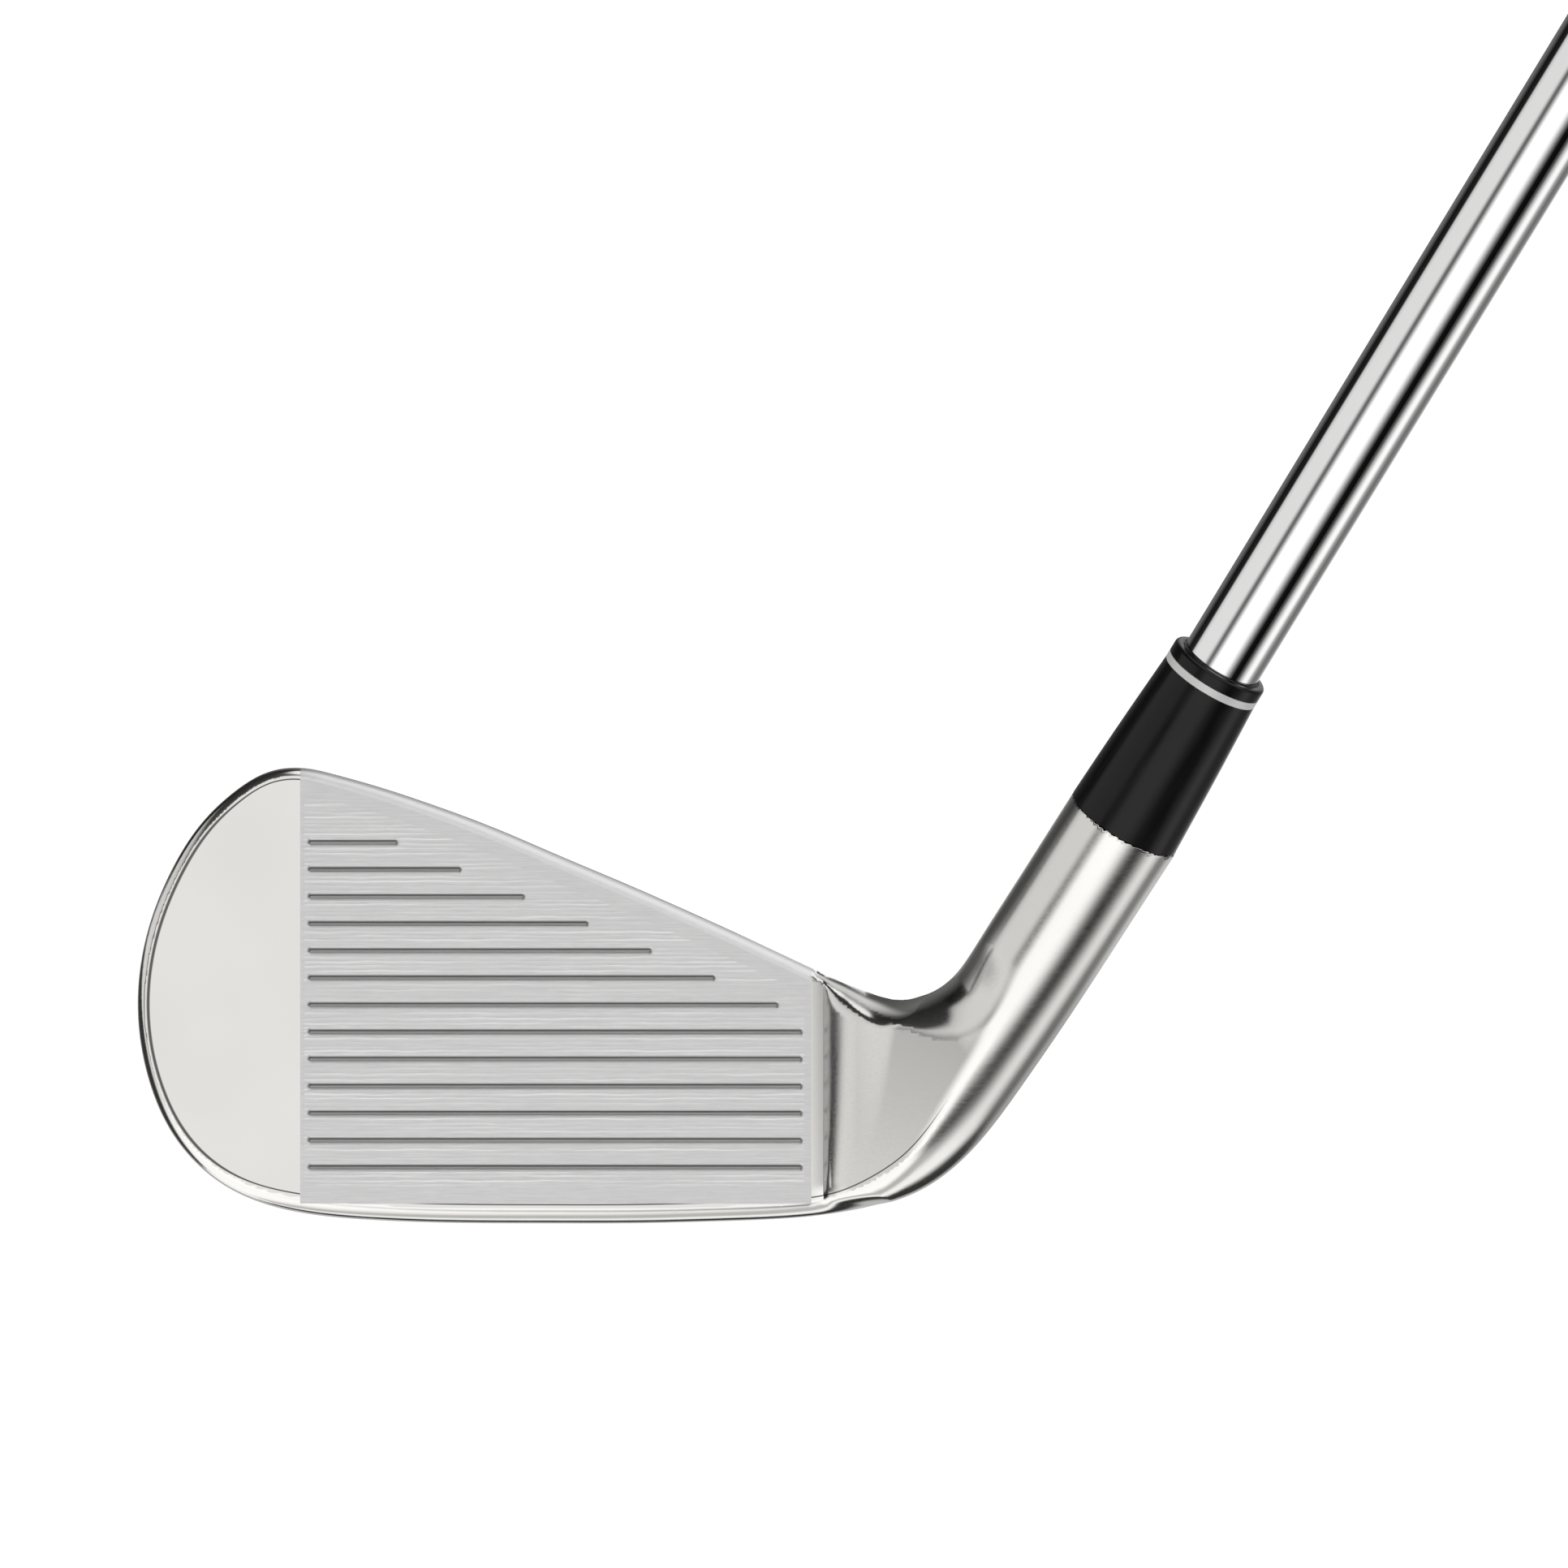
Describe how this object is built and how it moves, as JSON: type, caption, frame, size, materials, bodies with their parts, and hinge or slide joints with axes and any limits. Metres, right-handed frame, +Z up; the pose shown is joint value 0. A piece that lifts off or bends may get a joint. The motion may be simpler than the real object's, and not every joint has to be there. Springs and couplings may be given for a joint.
{
  "type": "iron golf club",
  "caption": "Right-handed long iron: forged cavity-back head with welded grooved face plate, black ringed ferrule, stepped chromed steel shaft and rubber grip.",
  "frame": {"origin": "on the shaft axis in the middle of the grip, where the hands hold the club", "axes": "+X from toe to heel and on towards the golfer, -Y towards the target, +Z up, with the club soled at its lie angle as at address"},
  "size_m": [0.5785, 0.0324, 0.8718],
  "materials": {
    "satin_steel": "satin",
    "face_steel": "blasted",
    "tungsten": "matte",
    "damping_pad": "matte",
    "badge": "satin",
    "ferrule_black": "gloss",
    "ferrule_ring": "satin",
    "shaft_chrome": "polished",
    "brass": "machined",
    "band_film": "gloss",
    "grip_tape": "matte",
    "grip_rubber": "matte",
    "cap_rubber": "matte"
  },
  "bodies": {
    "root": {"head_body": "satin_steel", "face_plate": "face_steel", "toe_weight": "tungsten", "damping_pad": "damping_pad", "cavity_badge": "badge", "ferrule_cone": "ferrule_black", "ferrule_ring": "ferrule_ring", "ferrule_collar": "ferrule_black", "shaft": "shaft_chrome", "tip_weight": "brass", "shaft_band": "band_film", "grip_tape": "grip_tape", "grip_sleeve": "grip_rubber", "grip_cap": "cap_rubber"}
  },
  "joints": []
}
